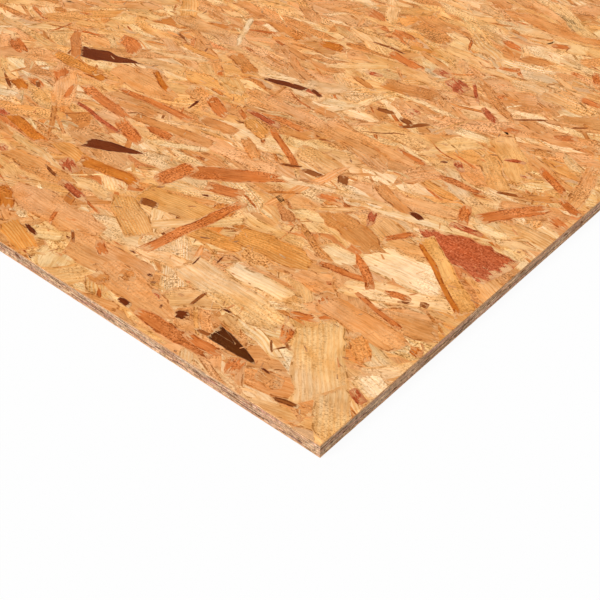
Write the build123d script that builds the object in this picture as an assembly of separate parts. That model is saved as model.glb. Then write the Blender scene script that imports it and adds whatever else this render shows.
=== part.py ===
from build123d import *
from collections import namedtuple
import os

# One sheet of oriented strand board, in millimetres. It lies flat, and the origin is the
# middle of its underside. X runs along the sheet, the way the strands of both faces run,
# Y runs across it and Z is up.
SHEET_LENGTH = 2440.0
SHEET_WIDTH = 1220.0
SHEET_THICKNESS = 12.0

# The saw leaves every arris broken by this much.
ARRIS = 0.4

# The mat is pressed from two face layers, whose strands run along the sheet, and a core
# between them, whose strands run across it. Small gaps stay where core strands cross.
FACE_LAYER = 2.2

# The saw opens those gaps as lens-shaped mouths in the four edges. The two ends, which cut
# across the face strands, open more of them than the long sides do.
SHORTEST_GAP = 3.0
LONGEST_GAP = 9.0
LOWEST_GAP = 0.7
TALLEST_GAP = 1.6
GAP_DEPTH = 5.0
GAP_TILT = 5.0
END_GAP_PITCH = 36.0
SIDE_GAP_PITCH = 68.0

# No gap comes nearer than this to the corner where its edge ends.
CORNER_CLEARANCE = 15.0

# Gaps in line with each other would read as a pattern, so every place and size follows its
# own irrational step, and a place strays from the pitch by up to half of this share of it.
STRAY = 0.8
PLACE_STEP = 0.6180340
LEVEL_STEP = 0.7548777
LENGTH_STEP = 0.5698403
HEIGHT_STEP = 0.8191725

# A gap's place is its distance from the corner where its edge starts. Its level is 0 at the
# bottom of the core and 1 at its top.
Gap = namedtuple("Gap", "place level length height")

# These gaps show beside the near corner. The regular ones start past the reach.
SEEN_ON_END = [
    Gap(25.0, 0.37, 4.0, 1.0),
    Gap(81.0, 0.20, 6.0, 1.2),
    Gap(119.0, 0.22, 4.0, 0.9),
    Gap(148.0, 0.24, 5.0, 1.1),
    Gap(164.0, 0.30, 4.0, 1.0),
    Gap(198.0, 0.46, 5.5, 1.2),
    Gap(212.5, 0.70, 3.5, 1.0),
    Gap(226.5, 0.55, 6.0, 1.3),
    Gap(244.0, 0.84, 9.0, 1.8),
]
SEEN_ON_SIDE = [
    Gap(63.0, 0.78, 6.0, 1.0),
    Gap(77.0, 0.84, 5.0, 1.2),
    Gap(99.0, 0.84, 6.0, 1.0),
    Gap(217.0, 0.70, 4.0, 0.9),
]
END_REACH = 270.0
SIDE_REACH = 240.0

SawnEdge = namedtuple("SawnEdge", "start along outward length pitch seen reach")


def sawn_edges():
    """The four edges, each from the corner where it starts. The first two meet at the near
    corner, at +X and -Y, and hold the gaps that show there."""
    right, front = SHEET_LENGTH / 2.0, -SHEET_WIDTH / 2.0
    end = (SHEET_WIDTH, END_GAP_PITCH)
    side = (SHEET_LENGTH, SIDE_GAP_PITCH)
    return [
        SawnEdge((right, front), (0, 1), (1, 0), *end, SEEN_ON_END, END_REACH),
        SawnEdge((right, front), (-1, 0), (0, -1), *side, SEEN_ON_SIDE, SIDE_REACH),
        SawnEdge((-right, -front), (0, -1), (-1, 0), *end, [], 0.0),
        SawnEdge((-right, -front), (1, 0), (0, 1), *side, [], 0.0),
    ]


def spread(index, step):
    """The fractional part of index times step, which fills 0 to 1 evenly without repeating."""
    return (index * step) % 1.0


def between(low, high, share):
    """The value that lies this share of the way from low to high."""
    return low + share * (high - low)


def gaps_along(edge):
    """The gaps of one edge: those that show, and then one in each pitch to the far corner."""
    gaps = list(edge.seen)
    room = edge.length - edge.reach - CORNER_CLEARANCE
    for index in range(1, int(room / edge.pitch)):
        stray = STRAY * (spread(index, PLACE_STEP) - 0.5)
        gap = Gap(
            edge.reach + (index + stray) * edge.pitch,
            spread(index, LEVEL_STEP),
            between(SHORTEST_GAP, LONGEST_GAP, spread(index, LENGTH_STEP)),
            between(LOWEST_GAP, TALLEST_GAP, spread(index, HEIGHT_STEP)),
        )
        gaps.append(gap)
    return gaps


def mouth(length, height):
    """The outline of a gap on the sawn edge: two arcs that meet in a point at each side."""
    left = (-length / 2.0, 0.0)
    right = (length / 2.0, 0.0)
    roof = ThreePointArc(left, (0.0, height / 2.0), right)
    floor = ThreePointArc(right, (0.0, -height / 2.0), left)
    return make_face(roof + floor)


def pocket(edge, index, gap):
    """The room behind one mouth, from the sawn edge inwards by the depth of a gap."""
    core = SHEET_THICKNESS - 2.0 * FACE_LAYER
    centre = Vector(*edge.start, FACE_LAYER + gap.level * core)
    centre += Vector(*edge.along, 0) * gap.place
    on_edge = Plane(centre, x_dir=(*edge.along, 0), z_dir=(*edge.outward, 0))
    tilt = GAP_TILT * (2.0 * spread(index, PLACE_STEP) - 1.0)
    outline = on_edge * Rot(0, 0, tilt) * mouth(gap.length, gap.height)
    return extrude(outline, amount=-GAP_DEPTH)


def osb_panel():
    """The sheet: a rectangle with broken arrises and the core's gaps open on its edges."""
    blank = Box(SHEET_LENGTH, SHEET_WIDTH, SHEET_THICKNESS)
    sheet = chamfer((Pos(0, 0, SHEET_THICKNESS / 2.0) * blank).edges(), ARRIS)
    pockets = [
        pocket(edge, index, gap)
        for edge in sawn_edges()
        for index, gap in enumerate(gaps_along(edge))
    ]
    return sheet - pockets


os.makedirs("parts", exist_ok=True)
export_step(osb_panel(), "parts/osb_panel.step")
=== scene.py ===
"""The looks of one sheet of oriented strand board, laid flat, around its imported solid.

The sheet is pressed from flat strands of wood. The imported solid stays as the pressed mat
between them, and this script lays the strands that show on both faces and on the sawn edges.
Each strand is one surface of two parameters, s along it and t across it, both from -1 to 1:
    place  = middle + s * half length * its direction + t * half width * shape(s) * its side
    height = its own rise above the mat, and below the mat's skin on the outermost ring
where shape(s) narrows the strand to its torn ends. All are worked out as whole arrays.
"""

import math

import bpy
import numpy as np
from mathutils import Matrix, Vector


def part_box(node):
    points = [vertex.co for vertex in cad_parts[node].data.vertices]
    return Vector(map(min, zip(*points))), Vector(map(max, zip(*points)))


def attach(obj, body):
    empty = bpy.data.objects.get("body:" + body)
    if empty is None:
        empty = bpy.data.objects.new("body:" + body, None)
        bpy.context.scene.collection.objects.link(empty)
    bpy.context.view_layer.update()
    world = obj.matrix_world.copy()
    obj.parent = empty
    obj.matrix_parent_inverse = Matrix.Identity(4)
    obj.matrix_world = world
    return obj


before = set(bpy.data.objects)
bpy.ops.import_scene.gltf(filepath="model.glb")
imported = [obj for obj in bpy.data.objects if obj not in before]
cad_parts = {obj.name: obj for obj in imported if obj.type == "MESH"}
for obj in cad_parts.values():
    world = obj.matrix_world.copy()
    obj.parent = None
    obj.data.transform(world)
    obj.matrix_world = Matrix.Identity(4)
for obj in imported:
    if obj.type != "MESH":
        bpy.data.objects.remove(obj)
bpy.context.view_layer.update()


# The sheet: wood strands, wax and resin pressed hot into one board, then sawn to size on all
# four sides. The imported solid is the whole board, with the small gaps that the saw opened. Its
# own skin shows only in the seams between the strands below, so it is resin-soaked wood painted
# dark with the shade of those seams.
MM = 0.001
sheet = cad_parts["osb_panel"]
sheet_low, sheet_high = (np.array(corner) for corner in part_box("osb_panel"))
LENGTH, WIDTH, THICKNESS = sheet_high - sheet_low
HALF_SIZE = np.array([LENGTH, WIDTH]) / 2.0
NEAR_CORNER = np.array([sheet_high[0], sheet_low[1]])
ARRIS = 0.4 * MM


def added(name, data):
    """A new object in the scene that holds this mesh, lamp or camera."""
    item = bpy.data.objects.new(name, data)
    bpy.context.scene.collection.objects.link(item)
    return item


class Wire:
    """A number or colour on its way between nodes. Sums written on it add Math nodes."""

    def __init__(self, finish, socket):
        self.finish = finish
        self.socket = socket

    def sum(self, operation, *values):
        places = dict(enumerate(values))
        return self.finish.node("ShaderNodeMath", {"operation": operation}, places)

    def __add__(self, other):
        return self.sum("ADD", self, other)

    __radd__ = __add__

    def __sub__(self, other):
        return self.sum("SUBTRACT", self, other)

    def __rsub__(self, other):
        return self.sum("SUBTRACT", other, self)

    def __mul__(self, other):
        return self.sum("MULTIPLY", self, other)

    __rmul__ = __mul__

    def __abs__(self):
        return self.sum("ABSOLUTE", self)

    def sine(self):
        return self.sum("SINE", self)

    def lowest(self, other):
        return self.sum("MINIMUM", self, other)

    def highest(self, other):
        return self.sum("MAXIMUM", self, other)

    def rise(self, start, end):
        """0 up to start and 1 from end, with a smooth rise between. A start past end falls."""
        places = {"Value": self, "From Min": start, "From Max": end}
        return self.finish.node("ShaderNodeMapRange", {"interpolation_type": "SMOOTHSTEP"}, places)


class Finish:
    """The nodes of one material, or of the surround, all made by node()."""

    def __init__(self, owner):
        owner.use_nodes = True
        self.owner = owner
        self.tree = owner.node_tree
        self.tree.nodes.clear()

    def node(self, kind, settings=None, places=None, output=0):
        """One node of this kind: its settings first, then each socket's value or link."""
        made = self.tree.nodes.new(kind)
        for name, value in (settings or {}).items():
            setattr(made, name, value)
        for name, value in (places or {}).items():
            if isinstance(value, Wire):
                self.tree.links.new(value.socket, made.inputs[name])
            else:
                made.inputs[name].default_value = value
        if made.outputs:
            return Wire(self, made.outputs[output])

    def carried(self, name):
        """What the mesh carries under this name, as a vector."""
        return self.node("ShaderNodeAttribute", {"attribute_name": name}, output=1)

    def place(self):
        """Where the surface lies, in the object's own coordinates."""
        return self.node("ShaderNodeTexCoord", output=3)

    def parts(self, vector):
        """The three numbers of a vector."""
        split = self.node("ShaderNodeSeparateXYZ", places={0: vector}).socket.node
        return [Wire(self, socket) for socket in split.outputs]

    def noise(self, x, y, z, detail=2.0, roughness=0.5):
        """Noise from 0 to 1 whose three coordinates are already scaled."""
        place = self.node("ShaderNodeCombineXYZ", places={0: x, 1: y, 2: z})
        places = {"Vector": place, "Scale": 1.0, "Detail": detail, "Roughness": roughness}
        return self.node("ShaderNodeTexNoise", places=places)

    def blend(self, factor, first, second, kind="MIX"):
        """The first colour at factor 0 and the second at 1."""
        settings = {"data_type": "RGBA", "blend_type": kind}
        return self.node("ShaderNodeMix", settings, {0: factor, 6: first, 7: second}, output=2)

    def times(self, colour, number):
        """A colour made lighter or darker."""
        settings = {"operation": "SCALE"}
        colour = colour if isinstance(colour, Wire) else colour[:3]
        return self.node("ShaderNodeVectorMath", settings, {0: colour, "Scale": number})

    def surface(self, colour, roughness, height, depth, sheen):
        """A matt surface with relief. Depth is the relief's height in metres."""
        places = {"Strength": 1.0, "Distance": depth, "Height": height}
        relief = self.node("ShaderNodeBump", places=places)
        places = {"Base Color": colour, "Roughness": roughness, "Specular IOR Level": sheen}
        shader = self.node("ShaderNodeBsdfPrincipled", places={**places, "Normal": relief})
        self.node("ShaderNodeOutputMaterial", places={"Surface": shader})
        return self.owner


def tint(red, green, blue):
    """A colour as the eye reads it, 0 to 255, turned into the amount of light it returns."""
    share = np.array([red, green, blue]) / 255.0
    light = np.where(share <= 0.04045, share / 12.92, ((share + 0.055) / 1.055) ** 2.4)
    return (*light, 1.0)


def mat_finish():
    """Resin-soaked wood, painted dark with the shade of the seams where it shows: fine streaks
    along the sheet, thin layers through its thickness, and along the broken arrises the frayed,
    paler fibres of the face strands."""
    finish = Finish(bpy.data.materials.new("pressed_mat"))
    x, y, z = finish.parts(finish.place())
    streak = finish.noise(x * 60, y * 700, z * 1500, detail=3)
    layer = finish.noise(x * 25, y * 25, z * 1100)
    speck = finish.noise(x * 700, y * 700, z * 700)
    # Painted shade: these dark browns, scaled down again below, keep the mat as dark as a shaded seam.
    colour = finish.blend(layer.rise(0.4, 0.62), tint(158, 108, 70), tint(200, 148, 104))
    middle = THICKNESS / 2.0
    to_face = middle - abs(z - middle)
    frayed = (to_face + 0.9 * MM * (speck - 0.5)).rise(0.75 * MM, 0.30 * MM)
    colour = finish.blend(frayed, colour, tint(232, 176, 124))
    colour = finish.times(colour, 0.45 + 0.5 * streak + 0.5 * layer + 0.6 * (speck - 0.5) * frayed)
    height = streak * 0.5 + layer * 0.5
    return finish.surface(colour, 0.8, height, 0.15 * MM, 0.2)


sheet.data.materials.clear()
sheet.data.materials.append(mat_finish())


# The strands of the faces: knife-cut flakes of softwood, most of them up to 110 mm long and all
# under 1 mm thick, laid mostly along the sheet and pressed flat. Each keeps the colour and the
# growth rings of its own piece of log, from pale sapwood to red heartwood and dark bark.

# Each tone's colour, and how often it comes among the loose strands: the wide ones anywhere, the
# wide ones near the seen corner, where all dark ones are listed one by one, splinters and fines.
COMMON, CALM, SPLINTER, FINE = 1, 2, 3, 4
TONES = {
    "cream": ((242, 205, 155), 13, 18, 4, 0),
    "straw": ((235, 190, 136), 23, 22, 10, 2),
    "honey": ((227, 173, 112), 22, 16, 10, 0),
    "peach": ((224, 162, 106), 21, 18, 14, 8),
    "tan": ((211, 144, 83), 12, 15, 12, 14),
    "amber": ((225, 161, 92), 4, 4, 0, 0),
    "ochre": ((232, 170, 96), 0, 0, 0, 0),
    "gold": ((218, 142, 64), 0, 0, 0, 0),
    "resin": ((200, 118, 42), 1.5, 1.5, 0, 0),
    "russet": ((206, 122, 62), 3.5, 2, 6, 12),
    "brick": ((185, 93, 53), 0.6, 0, 0, 0),
    "umber": ((150, 87, 40), 0.6, 0, 2, 12),
    "bark": ((108, 46, 10), 0.1, 0, 0, 8),
    "char": ((86, 42, 6), 0, 0, 0, 0),
}

# The wide loose strands near the seen corner are also more alike: all lie nearer to this colour.
CALM_MEAN = (230, 176, 122)

# The wood of a listed strand, by its tone: how strong its growth rings are and how many
# mm apart they lie, its least roughness, and how much chance adds to that. The finish takes a
# roughness above 1 as wood that was torn all over.
WOOD = {
    "ochre": (0.1, 3.0, 0.0, 0.3),
    "amber": (1.0, 2.6, 0.0, 0.3),
    "honey": (0.9, 2.4, 0.0, 0.3),
    "straw": (0.45, 4.2, 0.0, 0.3),
    "cream": (0.35, 3.4, 0.0, 0.3),
    "peach": (0.35, 3.0, 0.0, 0.3),
    "russet": (0.35, 3.0, 0.52, 0.36),
    "brick": (0.35, 3.0, 1.1, 0.0),
    "umber": (0.35, 3.0, 0.12, 0.0),
    "bark": (0.35, 3.0, 0.12, 0.0),
    "char": (0.35, 3.0, 0.12, 0.0),
}
USUAL_WOOD = (0.35, 3.0, 0.2, 0.6)

# Strands whose middle lies this near the seen corner, in metres, get finer grids.
SEEN_REACH = 0.78

# The highest strand stands this far above the mat, and the rim of each ends this far below it.
HIGHEST_RISE = 0.27 * MM
SUNK = 0.36 * MM

# The strands stop this far short of the board's own sawn edge, and each by up to the stray more.
SAW_INSET = 0.06 * MM
SAW_STRAY = 0.08 * MM

# A cell counts where twice its area, in square metres, is above this.
LEAST_CELL = 1e-9


def drawn_tones(rng, count, tones, kind):
    """One tone for each strand by the shares of its kind, each a little lighter or redder."""
    rows = [row for row in tones.values() if row[kind]]
    shares = np.array([row[kind] for row in rows], float)
    palette = np.array([tint(*row[0])[:3] for row in rows])
    drawn = palette[rng.choice(len(rows), count, p=shares / shares.sum())]
    lightness = rng.normal(1.0, 0.06, (count, 1))
    warmth = rng.normal(0.0, 0.06, (count, 1)) * np.array([-0.2, 0.5, 1.4])
    return np.clip(drawn * lightness * (1.0 + warmth), 0.01, 0.95)


class Strands:
    """A lot of like strands, with one row for each strand in every array. Turn is measured from
    the long side. Bow bends a strand sideways, skew slants its ends, rag and side_rag make its
    ends and sides uneven, and wave is where the slow ripple of its sides starts. Corner_run and
    corner_left shape its torn corners, and sway is its share of the shift from pressing."""

    def __init__(self, rng, middle, turn, length, width, tone, rise):
        count = len(middle)
        self.middle = middle
        self.turn = turn
        self.half_length = length / 2.0
        self.half_width = width / 2.0
        self.tone = tone
        self.rise = rise
        self.seed = rng.random(count)
        self.bow = rng.normal(0.0, 0.02, count)
        self.wave = rng.random((count, 3))[:, 0]
        self.corner_run = rng.uniform(0.04, 0.75, (count, 2, 2)) ** 1.4
        self.corner_left = rng.uniform(-0.1, 1.0, (count, 2, 2))
        self.skew = rng.normal(0.0, 0.7, count)
        self.rag = rng.uniform(0.01, 0.08, count)
        self.side_rag = rng.uniform(0.03, 0.16, count)
        self.sway = np.ones(count)
        self.ring_pitch = rng.uniform(1.6, 5.0, count) * MM
        self.ring_strength = np.clip(rng.normal(0.35, 0.3, count), 0.0, 1.0)
        self.roughness = rng.random(count)


def picked(lot, mask):
    """The strands of a lot where the mask holds."""
    part = object.__new__(Strands)
    for key, values in vars(lot).items():
        setattr(part, key, values[mask])
    return part


def column(values):
    """One value for each strand, shaped to act on the strands' grids."""
    return values[:, None, None]


def over_grids(values, shape):
    """One value for each strand, repeated all over its grid."""
    return np.broadcast_to(column(values), shape)


def ringed(count):
    """Steps from -1 to 1 with the first and last doubled: the outer ones are the sunk ring."""
    steps = np.linspace(-1.0, 1.0, count + 1)
    return np.concatenate([[-1.0], steps, [1.0]])


def outer_ring(shape):
    """Which points of each grid lie on its outermost ring."""
    ring = np.zeros(shape, bool)
    ring[:, [0, -1], :] = True
    ring[:, :, [0, -1]] = True
    return ring


def swayed(place, reach):
    """How far pressing shifted each point sideways: a few slow waves over the board, added up,
    that die out towards the sawn edges."""
    x, y = place[..., 0], place[..., 1]
    shift_x = 1.2 * np.sin(71 * x + 93 * y + 1.0) + 0.6 * np.sin(212 * y - 131 * x + 2.0)
    shift_y = 1.4 * np.sin(88 * x - 60 * y + 0.4) + 0.8 * np.sin(190 * x + 150 * y + 5.0)
    inside = np.min(reach - np.abs(place), axis=-1)
    fade = np.clip(inside / (15 * MM), 0.0, 1.0)
    return np.stack([shift_x * fade, shift_y * fade], -1) * MM


def torn_ends(rng, lot, t):
    """Where each row of a strand starts and stops, in half lengths from its middle: short of -1
    and 1 by up to the rag, at random, and slanted across the strand by its skew."""
    ends = 1.0 - column(lot.rag) * rng.random((len(lot.middle), 2, t.size))
    ends[:, :, 0] = ends[:, :, 1]
    ends[:, :, -1] = ends[:, :, -2]
    slant = column(lot.skew * lot.half_width / lot.half_length) * t
    return slant - ends[:, :1], slant + ends[:, 1:]


def torn_sides(rng, lot, run, t):
    """The share of its half width that a strand keeps at each point. Each of its four corners is
    torn off along its own slope: corner_run is how much of the strand the slope takes, and
    corner_left how much of the half width is left at the tip. Each side also strays at random
    at every step along the strand, and ripples slowly."""
    stray = 1.0 + column(lot.side_rag) * rng.uniform(-1.0, 1.0, (len(lot.middle), 2, run.shape[1]))
    stray[:, :, 0] = stray[:, :, 1]
    stray[:, :, -1] = stray[:, :, -2]
    sides = []
    for side in (0, 1):
        kept = 1.0
        for end, sign in ((0, -1.0), (1, 1.0)):
            slope = column(lot.corner_run[:, side, end])
            left = column(lot.corner_left[:, side, end])
            gone = np.clip((sign * run - 1.0 + slope) / slope, 0.0, 1.0)
            kept = kept * (1.0 - (1.0 - left) * gone)
        sides.append(kept * stray[:, side, :, None])
    middle = (sides[0] + sides[1]) / 2.0
    shape = np.where(t > 0, sides[1], np.where(t < 0, sides[0], middle))
    phase = column(lot.wave) + 1.3 * run + 0.4 * np.sign(t)
    return np.maximum(shape + 0.04 * np.sin(2.0 * np.pi * phase), 0.0)


def strand_grid(rng, lot, cells_long, cells_wide, reach):
    """The grids of a lot of strands on a face, as arrays of strand by s by t. A point past the
    saw line is moved straight back onto it."""
    s = ringed(cells_long)[None, :, None]
    t = ringed(cells_wide)[None, None, :]
    along = np.stack([-np.cos(lot.turn), np.sin(lot.turn)], 1)[:, None, None, :]
    across = np.stack([-np.sin(lot.turn), -np.cos(lot.turn)], 1)[:, None, None, :]
    first, last = torn_ends(rng, lot, t)
    run = first + (s + 1.0) / 2.0 * (last - first)
    half_width = column(lot.half_width) * torn_sides(rng, lot, run, t)
    off_axis = half_width * t + column(lot.bow * lot.half_length) * run**2
    place = (
        lot.middle[:, None, None, :]
        + (run * column(lot.half_length))[..., None] * along
        + off_axis[..., None] * across
    )
    place = place + swayed(place, reach) * lot.sway[:, None, None, None]

    # No two strands are cut in quite the same plane, because faces that coincide render black.
    own_reach = reach - SAW_STRAY * lot.seed[:, None, None, None]
    cut = np.clip(place, -own_reach, own_reach)
    moved = cut - place
    on_grain = run * column(lot.half_length) + (moved * along).sum(-1)

    # A sawn end is clean, so the distance is to the torn end, on the board or off it.
    to_start = on_grain - first * column(lot.half_length)
    to_finish = last * column(lot.half_length) - on_grain
    ring = outer_ring(run.shape)
    return {
        "place": cut,
        "past": -moved,
        "height": np.where(ring, -SUNK, column(lot.rise)),
        "along": on_grain,
        "across": half_width * t + (moved * across).sum(-1),
        "half_width": half_width,
        "to_end": np.minimum(to_start, to_finish),
        "ring": ring,
    }


def grid_faces(count, columns, rows):
    """The four corners of every cell of every grid, counted through the whole lot."""
    here = np.arange(count * columns * rows).reshape(count, columns, rows)
    corners = [here[:, :-1, :-1], here[:, 1:, :-1], here[:, 1:, 1:], here[:, :-1, 1:]]
    return np.stack(corners, -1).reshape(count, -1, 4)


def cut_strands(cells, place, past):
    """What the saw leaves of a lot of strands. The cells that lay wholly past one saw line are
    dropped, and one upright wall closes each strand along each line that cuts it, between its
    first and last point there. This returns which cells are kept, the two points at the top of
    each wall, and the strand that each wall belongs to."""
    count = len(place)
    points = place.reshape(-1, 2)
    past = past.reshape(-1, 2)
    corner = points[cells]
    first = corner[..., 2, :] - corner[..., 0, :]
    second = corner[..., 3, :] - corner[..., 1, :]
    open_cell = first[..., 0] * second[..., 1] - first[..., 1] * second[..., 0] > LEAST_CELL
    used = np.zeros(len(points), bool)
    used[cells[open_cell].ravel()] = True
    gone = ((past[cells] > 0).all(-2) | (past[cells] < 0).all(-2)).any(-1)

    start = np.arange(count) * (len(points) // count)
    walls = []
    strands = []
    for axis in (0, 1):
        on_line = points[:, 1 - axis].reshape(count, -1)
        for sign in (-1, 1):
            here = (used & (sign * past[:, axis] > 0)).reshape(count, -1)
            low = start + np.where(here, on_line, np.inf).argmin(1)
            high = start + np.where(here, on_line, -np.inf).argmax(1)
            sawn = here.any(1) & (low != high)
            ends = (low, high) if (axis == 1) == (sign > 0) else (high, low)
            walls.append(np.stack(ends, 1)[sawn])
            strands.append(np.flatnonzero(sawn))
    return ~gone, np.concatenate(walls), np.concatenate(strands)


def joined(parts):
    """The faces of several parts as one array, and what their points carry as one dictionary."""
    starts = np.cumsum([0] + [len(carried["points"]) for faces, carried in parts])
    faces = np.concatenate([part[0] + start for part, start in zip(parts, starts)])
    carried = {key: np.concatenate([part[1][key] for part in parts]) for key in parts[0][1]}
    return faces, carried


def lay_piece(name, finish, faces, carried, outward):
    """A piece of four-cornered faces. Carried holds one row for each point: its place, its place
    on the flat map, and the vectors that its finish reads. A cell that closed up, as at a grid's
    corners, or that folded over is left out, and so is a point that no cell uses. An upright
    cell may lean a little past upright."""
    corner = carried["points"][faces]
    doubled = np.cross(corner[:, 2] - corner[:, 0], corner[:, 3] - corner[:, 1])
    size = np.linalg.norm(doubled, axis=1)
    kept = (size > LEAST_CELL) & (doubled @ np.array(outward, float) > -0.05 * size)
    used, packed = np.unique(faces[kept], return_inverse=True)
    carried = {key: values[used].astype(np.float32) for key, values in carried.items()}
    points = carried.pop("points")
    plan = carried.pop("plan")
    faces = packed.reshape(-1, 4).astype(np.int32)
    mesh = bpy.data.meshes.new(name)
    mesh.vertices.add(len(points))
    mesh.vertices.foreach_set("co", points.ravel())
    mesh.loops.add(faces.size)
    mesh.loops.foreach_set("vertex_index", faces.ravel())
    mesh.polygons.add(len(faces))
    mesh.polygons.foreach_set("loop_start", np.arange(0, faces.size, 4, dtype=np.int32))
    for key, values in carried.items():
        layer = mesh.attributes.new(key, "FLOAT_VECTOR", "POINT")
        layer.data.foreach_set("vector", values.ravel())
    flat = mesh.uv_layers.new(name="OFBake")
    flat.data.foreach_set("uv", plan[faces.ravel()].ravel())
    mesh.update(calc_edges=True)
    mesh.validate()
    mesh.shade_flat()
    mesh.materials.append(finish)
    piece = added(name, mesh)
    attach(piece, "root")


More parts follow.
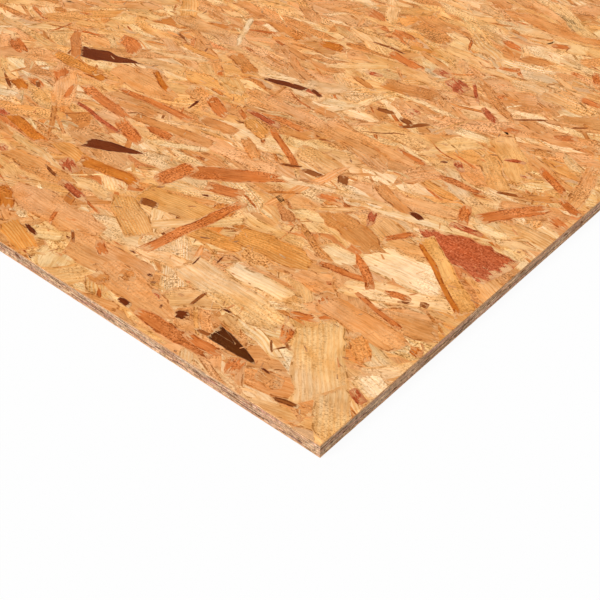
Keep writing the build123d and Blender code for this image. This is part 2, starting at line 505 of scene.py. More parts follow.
# Strands that show near the seen corner, in mm: how far their middle lies from the corner along
# the long side and along the end, their turn from the long side in degrees, towards the end's
# far corner, their length and their width. Two more numbers say how much of the width is left
# at the tip nearer the corner and at the other. The later ones lie on top.
PLACED = [
    ("straw", [(53, 62, 50, 82, 40, 1, 1), (12, 26, 50, 50, 26), (150, 73, 3, 112, 30)]),
    ("honey", [(259, 127, -8, 86, 26), (283, 92, 25, 62, 25)]),
    ("straw", [(232, 122, -45, 82, 12)]),
    ("cream", [
        (8, 66, 15, 26, 22), (145, 98, -4, 62, 18), (70, 182, -5, 78, 34), (264, 340, -20, 34, 14),
        (138, 376, -8, 36, 12), (326, 191, -28, 62, 9), (45, 268, 0, 34, 12), (312, 30, -30, 30, 14),
        (335, 342, -20, 38, 7),
    ]),
    ("peach", [(335, 56, 1, 109, 30), (250, 40, -1, 91, 34), (209, 29, 6, 91, 26)]),
    ("amber", [(207, 115, -9, 58, 17, 1, 1), (332, 14, 15, 46, 19), (392, 122, 6, 42, 15)]),
    ("amber", [(162, 136, -6, 76, 25, 0.3, 1), (294, 258, 14, 39, 16), (267, 475, -16, 30, 8)]),
    ("tan", [
        (384, 337, 20, 46, 16), (355, 386, 7, 39, 9), (323, 238, -3, 44, 14), (263, 319, -2, 31, 10),
        (227, 404, -11, 59, 20), (105, 426, 11, 32, 14), (402, 209, -9, 54, 10), (224, 296, -3, 29, 12),
    ]),
    ("russet", [(252, 250, 29, 69, 7), (203, 542, 19, 29, 10), (158, 312, 4, 36, 9), (355, 195, 5, 39, 11)]),
    ("amber", [(432, 325, 0, 52, 8), (109, 287, 5, 40, 10)]),
    ("peach", [(55, 112, 4, 78, 24), (262, 300, 3, 170, 16), (200, 306, 2, 110, 14), (430, 245, 2, 90, 26)]),
    ("tan", [
        (130, 195, 12, 72, 24), (38, 90, 35, 30, 14), (350, 206, -8, 96, 12), (275, 230, 34, 42, 12),
        (447, 147, 45, 62, 5), (158, 443, 35, 82, 10), (130, 250, 20, 60, 12), (303, 439, -5, 64, 5),
        (362, 361, 4, 30, 5), (269, 385, 12, 36, 7), (76, 392, -19, 27, 12), (167, 530, -14, 30, 14),
        (240, 21, -5, 18, 14), (226, 37, 3, 16, 12), (67, 24, -3, 24, 14),
    ]),
    ("resin", [(344, 124, -6, 68, 14), (383, 42, 31, 40, 14), (420, 260, 25, 44, 7), (6, 114, 11, 12, 9)]),
    ("resin", [(339, 421, -8, 32, 14), (475, 225, 3, 30, 10)]),
    ("gold", [(510, 229, -1, 72, 15)]),
    ("straw", [(295, 407, -40, 62, 13), (442, 305, -20, 66, 9)]),
    ("russet", [
        (152, 14, -3, 78, 14), (128, 19, 2, 36, 9), (260, 188, -32, 100, 20), (297, 158, 100, 40, 19),
        (232, 116, 100, 102, 12), (248, 168, -15, 36, 14), (395, 227, -3, 92, 9), (378, 178, 22, 50, 14),
        (45, 300, 125, 62, 14, 0.9, 0.9), (267, 47, 30, 22, 9), (88, 66, 60, 20, 9, 0, 1),
        (93, 114, 30, 10, 8), (95, 18, 70, 17, 12), (55, 131, 14, 52, 5), (505, 208, 40, 24, 15),
        (462, 117, 3, 78, 8), (346, 262, 25, 42, 13), (495, 290, 20, 42, 18), (92, 91, -25, 23, 8),
        (329, 50, 58, 24, 4), (174, 218, -15, 25, 7), (75, 272, 60, 27, 10), (14, 338, 25, 29, 8),
        (72, 428, -25, 22, 10), (96, 216, 120, 30, 7), (580, 215, 20, 40, 14), (102, 306, -4, 46, 8),
        (473, 190, 60, 26, 6), (102, 149, -6, 48, 8, 0.2, 0.5), (93, 162, 39, 50, 8, 0.8, 0),
        (433, 199, 11, 77, 12), (509, 179, 15, 28, 9), (164, 571, -21, 20, 9), (178, 499, -18, 22, 6),
        (265, 445, 12, 46, 11), (87, 495, 5, 25, 10), (104, 538, 55, 24, 7), (117, 406, -13, 18, 10),
        (315, 80, 10, 24, 3),
    ]),
    ("brick", [
        (50, 231, 3, 86, 40, 1, -0.15), (62, 257, -10, 29, 8), (300, 274, 5, 46, 8), (345, 84, 8, 40, 8),
        (377, 107, 20, 26, 13), (418, 176, 8, 78, 5), (10, 51, 20, 16, 8), (129, 218, 65, 23, 8),
        (194, 37, 20, 12, 4), (146, 415, 32, 30, 9), (199, 440, 30, 28, 19), (224, 450, 8, 20, 10),
        (273, 404, -20, 19, 7), (119, 327, 40, 19, 8), (203, 374, 0, 14, 9), (490, 124, 10, 26, 9),
        (86, 366, -22, 20, 5), (66, 353, -24, 12, 4), (444, 88, 16, 13, 8),
    ]),
    ("ochre", [(41, 199, 34, 97, 17, 1, 1)]),
    ("resin", [(44, 193, 35, 93, 5, 0.8, 0.8)]),
    ("cream", [(93, 242, -16, 118, 10, 0.2, 0.4)]),
    ("russet", [(53, 155, -14, 23, 7), (44, 361, 29, 44, 9), (10, 313, 20, 22, 9)]),
    ("tan", [(42, 331, -26, 34, 9), (44, 425, 8, 19, 10)]),
    ("russet", [(123, 532, 12, 14, 6), (154, 449, 4, 13, 6)]),
    ("brick", [(179, 440, 50, 40, 4), (302, 339, -8, 34, 6)]),
    ("tan", [(154, 439, 34, 82, 9)]),
    ("umber", [(44, 152, -28, 13, 3)]),
    ("resin", [(519, 167, 14, 25, 12), (453, 121, 9, 59, 12)]),
    ("umber", [
        (32, 159, 2, 7, 6), (165, 53, 88, 20, 3), (43, 14, -12, 21, 4), (187, 356, -55, 29, 6),
        (222, 358, -4, 21, 6), (209, 237, -10, 19, 7), (113, 432, -40, 32, 3), (283, 114, -10, 19, 9),
        (197, 357, 10, 16, 7), (505, 178, 36, 14, 4), (382, 92, 15, 22, 3), (230, 233, -27, 20, 3),
        (71, 451, -41, 16, 3), (297, 42, 35, 18, 2.5), (88, 50, 45, 13, 2), (79, 57, 30, 9, 2),
        (81, 53, -55, 13, 1.6), (182, 245, 60, 15, 10),
    ]),
    ("char", [(109, 32, 8, 47, 15, 0, 0.9), (121, 37, 12, 24, 7, 0, 1)]),
    ("bark", [
        (161, 32, -20, 12, 8), (204, 14, 5, 15, 6), (104, 245, 10, 16, 6), (367, 151, -22, 60, 15, 0, 1),
        (491, 259, -20, 70, 19, 0, 1), (325, 334, -15, 46, 8), (292, 341, 12, 18, 5), (75, 29.5, 0, 11, 2),
        (139, 57, -5, 12, 2), (366, 250, 85, 16, 3), (254, 153, -12, 9, 3), (178, 48, 5, 5, 2.5),
        (206, 45, -30, 4, 2.5), (214, 49, 0, 5, 2.5), (245, 60, 5, 6, 2), (181, 28, 60, 5, 2),
        (186, 97, 80, 11, 1.5), (199, 85, 75, 12, 1.4), (329, 26, 15, 21, 4), (133, 325, -24, 6, 4),
    ]),
]
USUAL_TIPS = (0.6, 0.6)

# Strands of these tones run out to a point where nothing is left of the width at a tip.
POINTED = ["bark", "char"]


def placed_strands(rng):
    """The strands listed in PLACED. They rise above all that lie loose, apart from the fines."""
    rows = [(*(place + USUAL_TIPS)[:7], name) for name, places in PLACED for place in places]
    names = [row[7] for row in rows]
    table = np.array([row[:7] for row in rows], float)
    middle = NEAR_CORNER + table[:, :2] * MM * np.array([-1.0, 1.0])
    tone = np.array([tint(*TONES[name][0])[:3] for name in names])
    tone = tone * rng.normal(1.0, 0.03, (len(rows), 1))
    rise = HIGHEST_RISE * np.linspace(0.47, 0.95, len(rows))
    length, width = table[:, 3] * MM, table[:, 4] * MM
    lot = Strands(rng, middle, np.radians(table[:, 2]), length, width, tone, rise)
    lot.skew *= 0.4
    lot.sway *= 0.5
    lot.bow *= 0.25
    lot.side_rag *= 0.6

    given = table[:, None, 5:7]
    tips = np.clip(given + rng.uniform(-0.3, 0.3, (len(rows), 2, 2)), 0.0, 1.0)
    run = np.clip(1.05 - tips, 0.08, 0.95) * rng.uniform(0.6, 1.1, tips.shape)
    drawn_out = column(np.isin(names, POINTED)) & (given == 0)
    lot.corner_left = np.where(drawn_out, 0.12, tips)
    lot.corner_run = np.where(drawn_out, 1.25, run)

    wood = np.array([WOOD.get(name, USUAL_WOOD) for name in names])
    lot.ring_strength = wood[:, 0]
    lot.ring_pitch = wood[:, 1] * MM
    lot.roughness = wood[:, 2] + wood[:, 3] * lot.roughness
    return lot


def scattered(rng, pitch, jitter):
    """Middles on a lattice of this pitch over the whole board, each moved by up to the jitter."""
    counts = np.ceil(2.0 * HALF_SIZE / pitch).astype(int) + 1
    x, y = np.meshgrid(np.arange(counts[0]), np.arange(counts[1]), indexing="ij")
    grid = np.stack([x + 0.5 * (y % 2), y], -1).reshape(-1, 2) * pitch
    grid = grid - counts * np.array(pitch) / 2.0
    moved = grid + rng.uniform(-jitter, jitter, grid.shape) * np.array(pitch)
    return moved[rng.permutation(len(moved))]


def seen(middle):
    """Which middles lie near the seen corner."""
    return np.linalg.norm(middle - NEAR_CORNER, axis=1) < SEEN_REACH


def loose_strands(rng, pitch, jitter, length, width, spread, crossing, kind, rises):
    """A lot scattered over the board. Most lie along it within the spread, and the share that
    crosses lies at any turn."""
    middle = scattered(rng, pitch, jitter)
    count = len(middle)
    turn = rng.normal(0.0, spread, count)
    astray = rng.random(count) < crossing
    turn = np.where(astray, rng.uniform(-1.5, 1.5, count), turn)
    long = rng.uniform(*length, count) * MM
    wide = rng.uniform(*width, count) * MM
    rise = HIGHEST_RISE * rng.uniform(*rises, count)
    tone = drawn_tones(rng, count, TONES, kind)
    if kind == COMMON:
        calm = drawn_tones(rng, count, TONES, CALM)
        calm = calm + 0.20 * (np.array(tint(*CALM_MEAN)[:3]) - calm)
        tone = np.where(seen(middle)[:, None], calm, tone)
    return Strands(rng, middle, turn, long, wide, tone, rise)


def strand_finish():
    """Softwood along each strand: fine fibres, growth rings as warm bands across it and small
    dark pores. Over all of them lie what pressing and sanding leave: frayed sides that melt into
    the strands around, curly creases, pits and a slow drift of colour over the board. Light and
    shade are painted in as well: darker hollows between the fibres, shaded pits and lit fibre
    tips, a shadow near each strand's sides and tips, a dark shadow line along its outline and
    a darker rim where it dips below the mat."""
    finish = Finish(bpy.data.materials.new("face_strands"))
    noise, blend = finish.noise, finish.blend
    tone = finish.carried("tone")
    along, across, seed = finish.parts(finish.carried("grain"))
    to_end, half_width, ring_rate = finish.parts(finish.carried("edges"))
    strength, rough, wall = finish.parts(finish.carried("figure"))
    x, y = finish.parts(finish.place())[:2]

    depth = seed * 83.0
    fibre = noise(along * 38, across * 640, depth, detail=4, roughness=0.7)
    vein = noise(along * 15, across * 260, depth)
    mottle = noise(along * 60, across * 130, depth + 3)
    wander = noise(along * 14, across * 40, depth)
    rings = (across + 0.010 * wander) * ring_rate * (2.0 * math.pi) + seed * 40
    late = (0.5 + 0.5 * rings.sine()).rise(0.30, 0.90) * strength

    # The fine texture is curly where the wood was torn, and follows the grain elsewhere. Clean
    # wood shows little of either.
    torn = noise(x * 26, y * 34, depth * 0.2).rise(0.40, 0.58)
    all_over = rough.rise(1.0, 1.1)
    torn = torn * (1 - all_over) + 0.9 * all_over
    coarse = (0.16 + 1.05 * torn * (0.18 + 0.82 * rough)) * (1 - 0.4 * all_over)
    speck = noise(x * 590, y * 660, depth * 0.1, roughness=0.75)
    dash = noise(along * 200, across * 980, depth + 5, roughness=0.65)
    grit = speck * torn + dash * (1 - torn)
    pits = grit.rise(0.50, 0.68) * coarse
    highlit_flecks = grit.rise(0.46, 0.30) * coarse
    curl = noise(x * 58, y * 84, depth * 0.03, detail=4, roughness=0.55)
    worm = abs(curl - 0.5).rise(0.020, 0.003) * noise(x * 40, y * 52, 9.0).rise(0.47, 0.60)
    stain = noise(x * 38, y * 60, depth)
    drift = noise(x * 11, y * 19, 4.0)
    cloud = noise(along * 24, across * 70, depth + 17, detail=1)
    # The grit term is painted light and shade on the fine relief: darker in the pits, lighter on the raised
    # fibres.
    light = 1.22 + 0.74 * (fibre - 0.5) + 0.26 * (vein - 0.5) + 0.34 * (mottle - 0.5)
    light = light + 0.30 * (stain - 0.5) + 0.24 * (drift - 0.5) + 1.7 * (0.5 - grit) * coarse
    light = light + 0.50 * (cloud - 0.5)
    colour = finish.times(tone, light)

    # The wood drifts between pinker and yellower over the board. Late rings and resin are warmer,
    # and the hollows between fibres are painted warmer and darker as their shade. Dark pores with
    # their shade painted in, and the tracks of tearing, are deepest.
    yellowed = noise(x * 8, y * 14, 51.0).rise(0.38, 0.62)
    hue = blend(yellowed, (1.01, 1.03, 1.14, 1), (0.99, 0.95, 0.84, 1))
    colour = blend(1.0, colour, hue, "MULTIPLY")
    warm = blend(1.0, colour, (0.90, 0.66, 0.38, 1), "MULTIPLY")
    deep = blend(1.0, colour, (0.42, 0.24, 0.08, 1), "MULTIPLY")
    resinous = noise(x * 17, y * 36, 31.0, detail=3, roughness=0.6).rise(0.50, 0.66)
    mottled = (0.5 - mottle).rise(-0.02, 0.20)
    hollow_shade = (0.5 - fibre).rise(0.00, 0.20)
    for share in (late * 0.85, resinous * 0.55, mottled * 0.55, hollow_shade * 0.6):
        colour = blend(share, colour, warm)
    for share in (worm * (0.2 + speck) * coarse, pits * 0.85):
        colour = blend(share, colour, deep)
    # Painted highlight: the raised flecks are lighter and paler, as lit fibre tips.
    colour = finish.times(colour, 1.0 + 0.30 * highlit_flecks)
    colour = blend(highlit_flecks * (0.08 + 0.30 * rough), colour, tint(244, 196, 148))

    # The frayed sides and tips show the colour of the bed around them. A clean strand frays less.
    bed = noise(x * 40, y * 170, 7.0, detail=3)
    around = blend(bed.rise(0.35, 0.65), tint(244, 194, 138), tint(222, 154, 96))
    around = finish.times(around, 1.06 + 0.9 * (0.5 - grit))
    fray = noise(along * 110, across * 420, depth + 11, detail=3, roughness=0.65)
    side = half_width - abs(across)
    ragged = (half_width * 0.9).lowest(0.0075) * (0.35 + 0.65 * rough)
    to_side = side - ragged * (fray - 0.34)
    to_tip = to_end - (0.010 + 0.030 * rough) * (fray - 0.36)
    to_frayed = to_side.lowest(to_tip)
    colour = blend(to_frayed.rise(0.60 * MM, -0.60 * MM) * 0.82, colour, around)
    # Painted shadow: a patchy, warm darkening within 4.5 mm of each strand's sides and tips, as if cast by
    # the strands over it.
    shaded = noise(x * 46, y * 60, 21.0).rise(0.42, 0.60)
    shaded = shaded * side.lowest(to_end).rise(4.5 * MM, 0.3 * MM)
    colour = blend(shaded * 0.60, colour, warm)
    # Painted shadow: dark, broken lines along each strand's frayed outline, where it meets the strands
    # beside it.
    crease_shadow = noise(x * 95, y * 120, 2.0, detail=3, roughness=0.7).rise(0.49, 0.57)
    crease_shadow = crease_shadow * abs(to_frayed - 0.5 * MM).rise(1.0 * MM, 0.25 * MM)
    crease_shadow = crease_shadow * (0.4 + 1.2 * speck).lowest(1.0)
    colour = blend(crease_shadow * 0.85, colour, deep)
    # Painted shade: the rim that dips below the mat is darker, as a shaded seam.
    colour = blend(wall * 0.2, colour, deep)

    height = 0.4 * fibre + 0.3 * vein - 0.7 * pits + 0.3 * late + 0.4 * highlit_flecks
    roughness = 0.60 + 0.25 * (fibre - 0.5) + 0.15 * pits
    return finish.surface(colour, roughness, height, 0.14 * MM, 0.05)


def share_of(places, length, count):
    """Which of so many equal shares of a length about the board's middle each place lies in."""
    return np.clip(((places + length / 2.0) / (length / count)).astype(int), 0, count - 1)


# Room on the flat map round each length of strip, for the strands that reach out of it.
MAP_MARGIN = 0.055


def lay_face(name, lots, finish, strips, folds, up):
    """Lays lots of strands on the top face (up 1) or the underside (up -1), as strips that run
    along the board. In each strip the strands are ordered from the lowest to the highest. The
    flat map shows a strip from above, folded into shorter lengths that lie side by side."""
    reach = HALF_SIZE - SAW_INSET
    level = sheet_high[2] if up > 0 else sheet_low[2]
    fold_length = LENGTH / folds
    strip_width = WIDTH / strips
    across_fold = strip_width + 2 * MAP_MARGIN
    map_size = max(fold_length + 2 * MAP_MARGIN, folds * across_fold)
    for strip in range(strips):
        parts = []
        order = []
        for lot, cells_long, cells_wide in lots:
            part = picked(lot, share_of(lot.middle[:, 1], WIDTH, strips) == strip)
            if not len(part.middle):
                continue
            rng = np.random.default_rng(91 + strip)
            grid = strand_grid(rng, part, cells_long, cells_wide, reach)
            xy = grid["place"]
            z = level + up * grid["height"]
            shape = z.shape
            fold = over_grids(share_of(part.middle[:, 0], LENGTH, folds), shape)
            u = xy[..., 0] + LENGTH / 2.0 - fold * fold_length + MAP_MARGIN
            v = xy[..., 1] + WIDTH / 2.0 - strip * strip_width + MAP_MARGIN + fold * across_fold
            ring_rate = over_grids(1.0 / part.ring_pitch, shape)
            ring_strength = over_grids(part.ring_strength, shape)
            roughness = over_grids(part.roughness, shape)
            carried = {
                "points": np.concatenate([xy, z[..., None]], -1),
                "grain": np.stack([grid["along"], grid["across"], over_grids(part.seed, shape)], -1),
                "edges": np.stack([grid["to_end"], grid["half_width"], ring_rate], -1),
                "figure": np.stack([ring_strength, roughness, grid["ring"]], -1),
                "tone": np.broadcast_to(part.tone[:, None, None, :], (*shape, 3)),
                "plan": np.stack([u, v], -1) / map_size,
            }

            # The two feet of each sawn wall copy the points above them, at the rim's depth.
            cells = grid_faces(*shape)
            kept, walls, wall_strands = cut_strands(cells, xy, grid["past"])
            feet = z.size + np.arange(walls.size).reshape(-1, 2)
            for key, values in carried.items():
                values = values.reshape(-1, values.shape[-1])
                carried[key] = np.concatenate([values, values[walls.ravel()]])
            carried["points"][z.size :, 2] = level - up * SUNK
            upright = np.concatenate([walls, feet[:, ::-1]], 1)
            corners = np.concatenate([cells[kept], upright])
            parts.append((corners if up > 0 else corners[:, ::-1], carried))
            rises = np.broadcast_to(part.rise[:, None], kept.shape)
            order.append(np.concatenate([rises[kept], part.rise[wall_strands]]))
        faces, carried = joined(parts)
        faces = faces[np.argsort(np.concatenate(order), kind="stable")]
        lay_piece(f"{name}_{strip + 1}", finish, faces, carried, (0, 0, up))


# What lies loose on a face: the full bed of wide strands, the upper ones, the splinters and the
# fines. Each row is the pitch and jitter of the middles, the lengths and widths in mm, the spread
# of the turns, the share that crosses, whose tones they have and the rises as shares of the
# highest.
LOOSE = [
    ((56 * MM, 17 * MM), 0.35, (70, 112), (17, 34), 0.26, 0.03, COMMON, (0.03, 0.21)),
    ((44 * MM, 19 * MM), 0.6, (35, 112), (6, 25), 0.38, 0.06, COMMON, (0.18, 0.46)),
    ((36 * MM, 17 * MM), 0.8, (12, 48), (1.5, 5), 0.48, 0.12, SPLINTER, (0.28, 0.46)),
    ((28 * MM, 21 * MM), 0.9, (2, 9), (0.8, 2.4), 0.8, 0.4, FINE, (0.95, 1.0)),
]

# The cells of a strand's grid along and across it, for the first three of these lots near the
# seen corner and far from it, for all four on the underside, and for a listed strand.
NEAR_CELLS = [(9, 3), (9, 4), (4, 2)]
FAR_CELLS = [(4, 1), (4, 2), (2, 1)]
UNDER_CELLS = [(4, 1), (4, 1), (1, 1), (1, 1)]
PLACED_CELLS = (14, 6)


def top_lots(rng):
    """The top face's lots, each with the cells of its grids."""
    *coarse, fines = [loose_strands(rng, *row) for row in LOOSE]
    lots = []
    for lot, near_cells, far_cells in zip(coarse, NEAR_CELLS, FAR_CELLS):
        near = seen(lot.middle)
        lots.append((picked(lot, near), *near_cells))
        lots.append((picked(lot, ~near), *far_cells))
    return lots + [(fines, 1, 1), (placed_strands(rng), *PLACED_CELLS)]


def under_lots(rng):
    """The underside's lots, with plainer grids and no listed strand."""
    return [(loose_strands(rng, *row), *cells) for row, cells in zip(LOOSE, UNDER_CELLS)]


face_finish = strand_finish()
lay_face("top_strands", top_lots(np.random.default_rng(20)), face_finish, 10, 3, 1)
lay_face("under_strands", under_lots(np.random.default_rng(57)), face_finish, 6, 3, -1)


# The strands that the saw cut through, on the four edges: thin layers in which a strand lies
# side-on, as a long line, or end-on, as a short dash of darker end grain. Along the two sides
# the face layers are side-on and the core end-on, and across the two ends it is the other way.
EDGE_TONES = {
    "sapwood": ((244, 208, 168), 16),
    "pale": ((228, 186, 146), 24),
    "plain": ((210, 166, 128), 22),
    "pink": ((214, 158, 134), 14),
    "grey": ((190, 160, 130), 14),
    "brown": ((168, 118, 84), 9),
    "dark": ((120, 76, 52), 6),
}
LAYERS = 15
FACE_LAYER = 2.2 * MM
SIDE_ON_RUN = (14 * MM, 80 * MM)
END_ON_RUN = (3 * MM, 16 * MM)
SHORTEST_RUN = 0.4 * MM

# Points of the solid this far apart along an edge are on two gaps, and strands keep this clear.
GAPS_APART = 5.2 * MM
GAP_CLEARANCE = 0.25 * MM

# How far the layers sag halfway through the board, and how deep the rim of a strand ends.
LAYER_SAG = 0.28 * MM
RIM_DEPTH = 0.12 * MM


def mouths_on(axis, level):
    """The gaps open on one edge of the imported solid, as rows of the first and last place along
    the edge and the lowest and highest. Their rims are the solid's only points in that plane
    that lie off its outline."""
    points = np.empty(len(sheet.data.vertices) * 3, np.float32)
    sheet.data.vertices.foreach_get("co", points)
    points = points.reshape(-1, 3).astype(float)
    clear = 1.5 * ARRIS
    inside = (points[:, 2] > clear) & (points[:, 2] < THICKNESS - clear)
    in_plane = np.abs(points[:, axis] - level) < 0.01 * MM
    rim = points[in_plane & inside]
    rim = rim[np.argsort(rim[:, 1 - axis])]
    breaks = np.flatnonzero(np.diff(rim[:, 1 - axis]) > GAPS_APART) + 1
    groups = [group[:, [1 - axis, 2]] for group in np.split(rim, breaks) if len(group)]
    return np.array([np.stack([group.min(0), group.max(0)], 1).ravel() for group in groups])


def cut_layer(rng, length, run, mouths, z):
    """One layer's strands as their first and last places along an edge. A gap at this height
    ends the strands on both sides of it."""
    steps = rng.uniform(*run, int(3 * length / sum(run)) + 8)
    cuts = np.cumsum(steps) - length / 2.0 - run[1] * rng.random()
    blocked = mouths[(mouths[:, 2] - GAP_CLEARANCE < z) & (mouths[:, 3] + GAP_CLEARANCE > z)]
    middle = (blocked[:, 2] + blocked[:, 3]) / 2.0
    half_height = (blocked[:, 3] - blocked[:, 2]) / 2.0 + GAP_CLEARANCE
    open_share = np.sqrt(np.clip(1.0 - ((z - middle) / half_height) ** 2, 0.0, 1.0))
    reach = (blocked[:, 1] - blocked[:, 0]) / 2.0 * open_share
    centre = (blocked[:, 1] + blocked[:, 0]) / 2.0
    cuts = np.concatenate([cuts, centre - reach, centre + reach, [-length / 2.0, length / 2.0]])
    cuts = np.sort(cuts[np.abs(cuts) <= length / 2.0])
    first, last = cuts[:-1], cuts[1:]
    halfway = (first + last) / 2.0
    in_gap = (np.abs(halfway[:, None] - centre[None, :]) < reach[None, :]).any(1)
    kept = ~in_gap & (last - first > SHORTEST_RUN)
    return first[kept], last[kept]


def edge_finish():
    """Sawn wood: fibres where a strand is side-on, pricked end grain where it is end-on, torn
    specks over both, painted shade as darker lines between the layers and on each strand's
    sunk rim, and soft, frayed arrises."""
    finish = Finish(bpy.data.materials.new("sawn_strands"))
    noise, blend = finish.noise, finish.blend
    tone = finish.carried("tone")
    along, across, seed = finish.parts(finish.carried("grain"))
    half_width, end_on, wall = finish.parts(finish.carried("edges"))
    z = finish.parts(finish.place())[2]
    depth = seed * 61.0
    fibre = noise(along * 160, across * 1900, depth, detail=3, roughness=0.6)
    prick = noise(along * 800, across * 1300, depth)
    grain = end_on * prick + (1 - end_on) * fibre
    speck = noise(along * 300, z * 430, 3.0, detail=3, roughness=0.65)
    blotch = noise(along * 60, z * 190, 8.0)
    hue = noise(along * 150, z * 260, 15.0)
    light = 0.98 + 0.5 * (grain - 0.5) + 2.5 * (speck - 0.5) + 0.7 * (blotch - 0.5)
    colour = finish.times(tone, light)
    reddened = finish.times((0.62, 0.36, 0.27, 1), light)
    colour = blend(hue.rise(0.5, 0.7) * 0.5, colour, reddened)
    deep = blend(1.0, colour, (0.46, 0.32, 0.25, 1), "MULTIPLY")
    # Painted shade: each strand darkens along its top and bottom, in the seams between the layers.
    seam = (half_width - abs(across)).rise(0.16 * MM, 0.0)
    colour = blend(seam * 0.30, colour, deep)
    colour = blend(speck.rise(0.42, 0.30) * 0.75, colour, deep)
    # Painted shade: the rim that dips into the edge is darker, as a shaded seam.
    colour = blend(wall * 0.4, colour, deep)
    middle = THICKNESS / 2.0
    to_face = middle - abs(z - middle)
    frayed = (to_face + 3.0 * MM * (speck - 0.5)).rise(2.2 * MM, 0.6 * MM)
    fibres = finish.times(tint(232, 180, 130), light)
    colour = blend(frayed * 0.85, colour, fibres)
    return finish.surface(colour, 0.75, grain + speck - 0.4 * seam, 0.16 * MM, 0.12)


def lay_edge(name, finish, axis, sign):
    """The strands of one edge. Axis 0 is an end and axis 1 a side, and sign says which of two.
    A strand is a flat surface on the edge: s runs along the edge and t up it, and its height is
    z = the layer's + the sag + the slope * s + the half thickness * t, thinner at its tips."""
    rng = np.random.default_rng(300 + 10 * axis + sign)
    level = sign * HALF_SIZE[axis]
    length = 2.0 * HALF_SIZE[1 - axis]
    folds = 20 if axis == 1 else 10
    fold_length = length / folds
    mouths = mouths_on(axis, level)
    pitch = (THICKNESS - 2 * ARRIS) / LAYERS
    parts = []
    for layer in range(LAYERS):
        z = ARRIS + (layer + 0.5) * pitch
        in_face = min(z, THICKNESS - z) < FACE_LAYER
        side_on = in_face == (axis == 1)
        first, last = cut_layer(rng, length, SIDE_ON_RUN if side_on else END_ON_RUN, mouths, z)
        count = len(first)
        s = ringed(6 if side_on else 2)[None, :, None]
        t = ringed(1)[None, None, :]
        shape = (count, s.size, t.size)
        middle = column((first + last) / 2.0)
        place = np.broadcast_to(middle + column((last - first) / 2.0) * s, shape)

        # The layers sag and rise together, as the strands bend over each other.
        loose = 4.0 * z * (THICKNESS - z) / THICKNESS**2
        sag = np.sin(place * 61.0 + 1.7 * axis) + np.sin(place * 143.0 + 4.0 * sign)
        thick = column(rng.uniform(0.42, 0.62, count))
        half_height = thick * pitch * (1.0 - 0.35 * s**4)
        slope = column(rng.normal(0.0, 0.12, count)) * pitch * s
        height = z + LAYER_SAG * loose * sag + slope + half_height * t
        lowest = (0.1 + 0.4 * thick) * MM
        height = np.clip(height, lowest, THICKNESS - lowest)
        rise = column(rng.uniform(0.01, 0.09, count)) * MM
        ring = outer_ring(shape)
        position = np.empty((*shape, 3))
        position[..., axis] = level + sign * np.where(ring, -RIM_DEPTH, rise)
        position[..., 1 - axis] = place
        position[..., 2] = height

        seed = over_grids(rng.random(count), shape)
        end_on = np.full(shape, float(not side_on))
        tones = drawn_tones(rng, count, EDGE_TONES, 1)
        fold = np.floor((middle + length / 2.0) / fold_length)
        u = (place + length / 2.0 - fold * fold_length) / (fold_length + 0.1) + 0.2
        v = (fold + height / THICKNESS * 0.8 + 0.1) / folds
        carried = {
            "points": position,
            "grain": np.stack([place, height - z, seed], -1),
            "edges": np.stack([np.broadcast_to(half_height, shape), end_on, ring], -1),
            "tone": np.broadcast_to(tones[:, None, None, :], (*shape, 3)),
            "plan": np.stack([u * 0.7, v], -1),
        }
        for key, values in carried.items():
            carried[key] = values.reshape(-1, values.shape[-1])
        cells = grid_faces(*shape).reshape(-1, 4)
        parts.append((cells[:, ::-1] if (sign > 0) == (axis == 1) else cells, carried))
    outward = (sign, 0, 0) if axis == 0 else (0, sign, 0)
    lay_piece(name, finish, *joined(parts), outward)


sawn_finish = edge_finish()
lay_edge("right_end_strands", sawn_finish, 0, 1)
lay_edge("left_end_strands", sawn_finish, 0, -1)
lay_edge("back_side_strands", sawn_finish, 1, 1)
lay_edge("front_side_strands", sawn_finish, 1, -1)


# The floor and the light: a plain white floor, a broad soft key from the left front and an
# even white surround, as in a light tent. The floor shows white and keeps a faint shadow.
WHITE = (1.0, 1.0, 1.0, 1.0)
FLOOR_HALF = 12.0
FLOOR_DROP = 0.5 * MM


def white_to_the_eye(finish, share, lit, kind, output):
    """Shows this share of full white to a ray that looks straight at it, mirrors it or sees it
    through glass. Every other ray meets the lit shader alone."""
    outputs = finish.node("ShaderNodeLightPath").socket.node.outputs
    names = ("Is Camera Ray", "Is Glossy Ray", "Is Transmission Ray")
    straight, mirrored, through = (Wire(finish, outputs[name]) for name in names)
    shows = straight.highest(mirrored).highest(through) * share
    white = finish.node(kind, places={"Color": WHITE, "Strength": 1.0})
    shader = finish.node("ShaderNodeMixShader", places={0: shows, 1: lit, 2: white})
    finish.node(output, places={"Surface": shader})


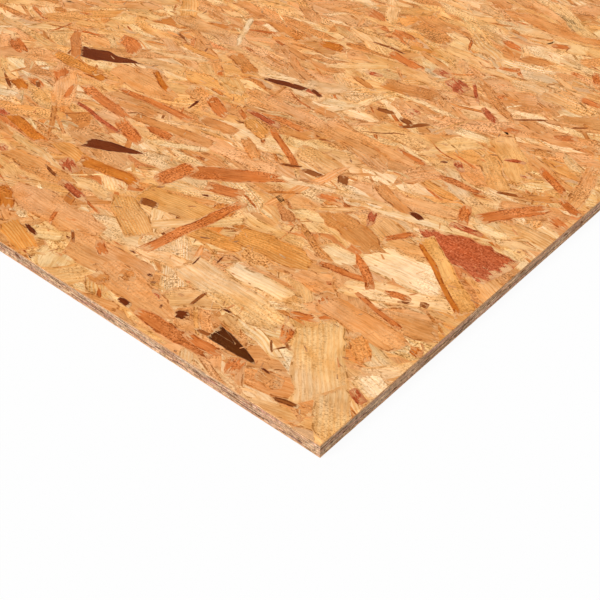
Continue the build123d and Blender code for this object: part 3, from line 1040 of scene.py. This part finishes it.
def floor_finish():
    """Plain white card, most of which shows as full white, so the shadow on it stays faint."""
    finish = Finish(bpy.data.materials.new("floor_white"))
    card = finish.node("ShaderNodeBsdfDiffuse", places={"Color": (0.92, 0.92, 0.92, 1.0)})
    white_to_the_eye(finish, 0.94, card, "ShaderNodeEmission", "ShaderNodeOutputMaterial")
    return finish.owner


def tent_light(world):
    """An even white surround, half as bright for the light it gives as it shows."""
    finish = Finish(world)
    light = finish.node("ShaderNodeBackground", places={"Color": WHITE, "Strength": 0.50})
    white_to_the_eye(finish, 1.0, light, "ShaderNodeBackground", "ShaderNodeOutputWorld")


floor_mesh = bpy.data.meshes.new("floor")
corners = [(-1, -1), (1, -1), (1, 1), (-1, 1)]
corners = [(FLOOR_HALF * x, FLOOR_HALF * y, -FLOOR_DROP) for x, y in corners]
floor_mesh.from_pydata(corners, [], [(0, 1, 2, 3)])
floor_mesh.materials.append(floor_finish())
floor = added("floor", floor_mesh)

bpy.context.scene.world = bpy.data.worlds.new("light_tent")
tent_light(bpy.context.scene.world)


def aimed(item, place, towards):
    """Puts a lamp or camera at a place and points it."""
    item.location = place
    item.rotation_euler = (Vector(towards) - Vector(place)).to_track_quat("-Z", "Y").to_euler()


key_light = bpy.data.lights.new("key", "SUN")
key_light.energy = 1.85
key_light.angle = math.radians(25)
aimed(added("key", key_light), (-0.95, -2.05, 2.25), (0.0, 0.0, 0.0))


# The camera stands low off the near corner and looks down over it, so that both sawn edges run
# down to the corner and the rest of the sheet fills the frame.
CAMERA_PITCH = math.radians(40.66)
CAMERA_HEADING = (-0.655, 0.756)
CAMERA_FROM_CORNER = (0.3294, -0.4006, 0.5836)
PIXELS = 600
FOCAL_PIXELS = 1164.0
camera_data = bpy.data.cameras.new("camera")
camera_data.sensor_width = 36.0
camera_data.lens = camera_data.sensor_width * FOCAL_PIXELS / PIXELS
camera_data.clip_start = 0.02
camera = added("camera", camera_data)
camera_place = np.array([*NEAR_CORNER, 0.0]) + np.array(CAMERA_FROM_CORNER)
level_look = math.cos(CAMERA_PITCH) * np.array([*CAMERA_HEADING, 0.0])
look = level_look - np.array([0.0, 0.0, math.sin(CAMERA_PITCH)])
aimed(camera, tuple(camera_place), tuple(camera_place + look))
bpy.context.scene.camera = camera
bpy.context.scene.view_settings.view_transform = "Standard"
